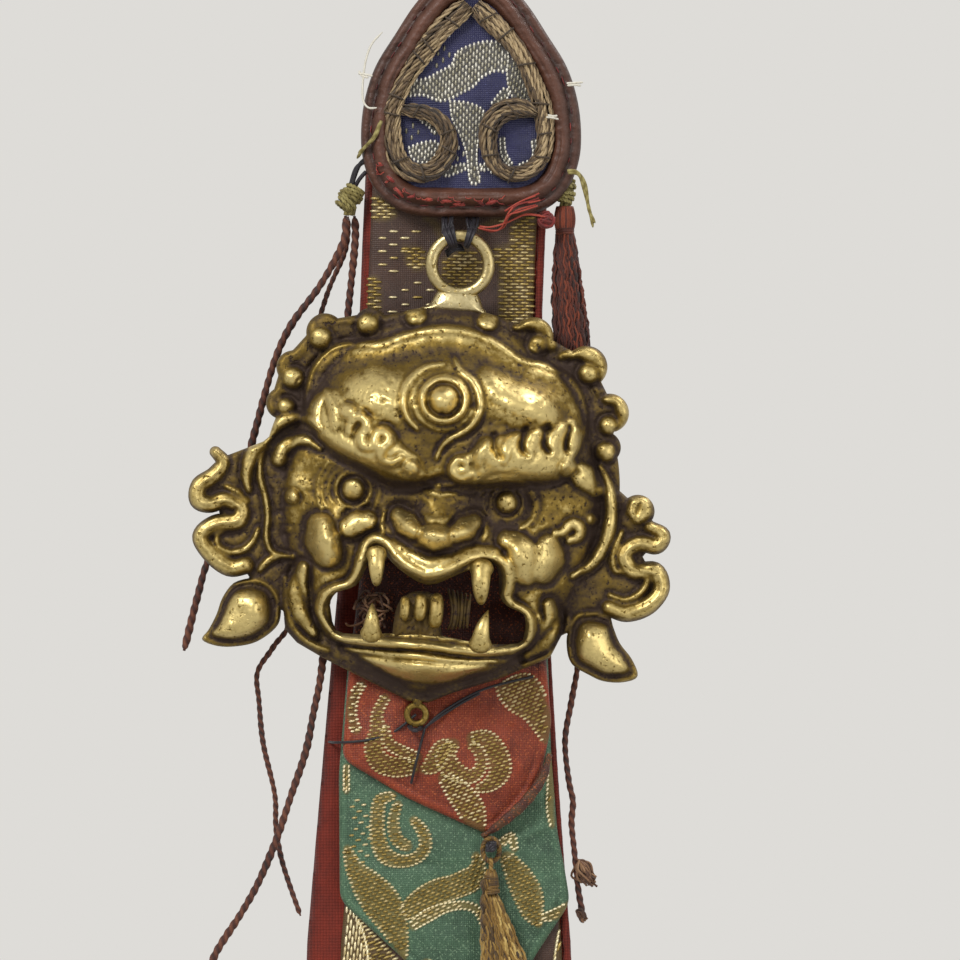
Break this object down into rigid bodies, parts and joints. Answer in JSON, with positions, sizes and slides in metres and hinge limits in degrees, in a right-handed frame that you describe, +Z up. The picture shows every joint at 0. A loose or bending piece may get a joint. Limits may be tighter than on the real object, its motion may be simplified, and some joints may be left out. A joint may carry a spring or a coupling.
{
  "type": "hanging banner with a cast guardian mask",
  "caption": "Tapering padded brocade banner hung by a ring from a leather-rimmed patch, with a cast brass guardian mask tied on, tongues, tassels and loose twisted cords.",
  "frame": {"origin": "centre of the hanging ring's hole", "axes": "+X to the right seen from the front, +Y to the back, +Z up"},
  "size_m": [0.0682, 0.0329, 0.2193],
  "materials": {
    "brass_wire": "satin, darkened in the corners",
    "aged_brass": "hand-rubbed highlights over a dark cast skin",
    "dark_leather": "worn, dull",
    "red_leather": "worn, slightly polished on the ridge",
    "blue_brocade": "satin with silver-gold floats",
    "brown_brocade": "satin with gold floats",
    "green_brocade": "satin with gold floats",
    "orange_brocade": "satin with gold floats",
    "red_cloth": "plain weave, faded",
    "wadding": "loose cotton",
    "tan_cord": "twisted cotton",
    "red_thread": "twisted thread",
    "dark_thread": "waxed thread",
    "olive_yarn": "loose yarn",
    "russet_cord": "twisted silk cord",
    "red_yarn": "loose silk",
    "gold_yarn": "loose crimped silk"
  },
  "bodies": {
    "hanger": {"hanging_ring": "brass_wire"},
    "banner": {"hanging_tab": "dark_leather", "patch_base": "dark_leather", "patch_rim": "red_leather", "patch_inlay": "blue_brocade", "couched_cord_left": "tan_cord", "couched_cord_right": "tan_cord", "rim_stitches": "red_thread", "red_backing": "red_cloth", "wadded_core": "wadding", "ground_brocade": "brown_brocade", "green_tongue": "green_brocade", "red_tongue": "orange_brocade", "ring_tie": "dark_thread", "centre_peg": "dark_thread", "green_peg": "dark_thread", "foot_peg": "dark_thread"},
    "mask": {"mask_face": "aged_brass", "mask_ring": "aged_brass", "chin_ring": "aged_brass", "chin_tie": "dark_thread"},
    "left_cords": {"left_knot": "olive_yarn", "left_cord_outer": "russet_cord", "left_cord_inner": "russet_cord", "left_cord_thin": "russet_cord"},
    "right_cords": {"right_knot": "olive_yarn", "right_tassel": "red_yarn", "right_cord": "russet_cord"},
    "centre_eye": {"centre_loop": "gold_yarn"},
    "centre_skirt": {"centre_tassel": "gold_yarn"},
    "green_eye": {"green_loop": "gold_yarn"},
    "green_skirt": {"green_tassel": "gold_yarn"},
    "foot_eye": {"foot_loop": "gold_yarn"},
    "foot_skirt": {"foot_tassel": "gold_yarn"}
  },
  "joints": [
    {"name": "banner_swing", "type": "hinge", "parent": "hanger", "child": "banner", "pos_m": [0, 0, -0.0091], "axis": [1, 0, 0], "range_deg": [-60, 60]},
    {"name": "mask_tilt", "type": "hinge", "parent": "banner", "child": "mask", "pos_m": [-0.00117, -0.00114, -0.04976], "axis": [-1, 0, 0], "range_deg": [0, 4], "deforming": ["chin_tie"]},
    {"name": "centre_sway", "type": "hinge", "parent": "banner", "child": "centre_eye", "pos_m": [0.00277, 0.00721, -0.13366], "axis": [0, 0.9958, 0.0913], "range_deg": [-35, 35]},
    {"name": "centre_lift", "type": "hinge", "parent": "centre_eye", "child": "centre_skirt", "pos_m": [0.00277, 0.00741, -0.13585], "axis": [-1, 0, 0], "range_deg": [0, 60]},
    {"name": "green_sway", "type": "hinge", "parent": "banner", "child": "green_eye", "pos_m": [0.00031, 0.011, -0.16083], "axis": [0, 0.9958, 0.0913], "range_deg": [-35, 35]},
    {"name": "green_lift", "type": "hinge", "parent": "green_eye", "child": "green_skirt", "pos_m": [0.00031, 0.0112, -0.16302], "axis": [-1, 0, 0], "range_deg": [0, 60]},
    {"name": "foot_sway", "type": "hinge", "parent": "banner", "child": "foot_eye", "pos_m": [-0.0045, 0.01347, -0.18772], "axis": [0, 0.9958, 0.0913], "range_deg": [-35, 35]},
    {"name": "foot_lift", "type": "hinge", "parent": "foot_eye", "child": "foot_skirt", "pos_m": [-0.0045, 0.01367, -0.18991], "axis": [-1, 0, 0], "range_deg": [0, 60]},
    {"name": "left_cords_sway", "type": "hinge", "parent": "banner", "child": "left_cords", "pos_m": [-0.01691, 0.00458, -0.04373], "axis": [0, 0.9958, 0.0913], "range_deg": [0, 50]},
    {"name": "right_cords_sway", "type": "hinge", "parent": "banner", "child": "right_cords", "pos_m": [0.01303, 0.00439, -0.04274], "axis": [0, -0.9958, -0.0913], "range_deg": [0, 50]}
  ]
}
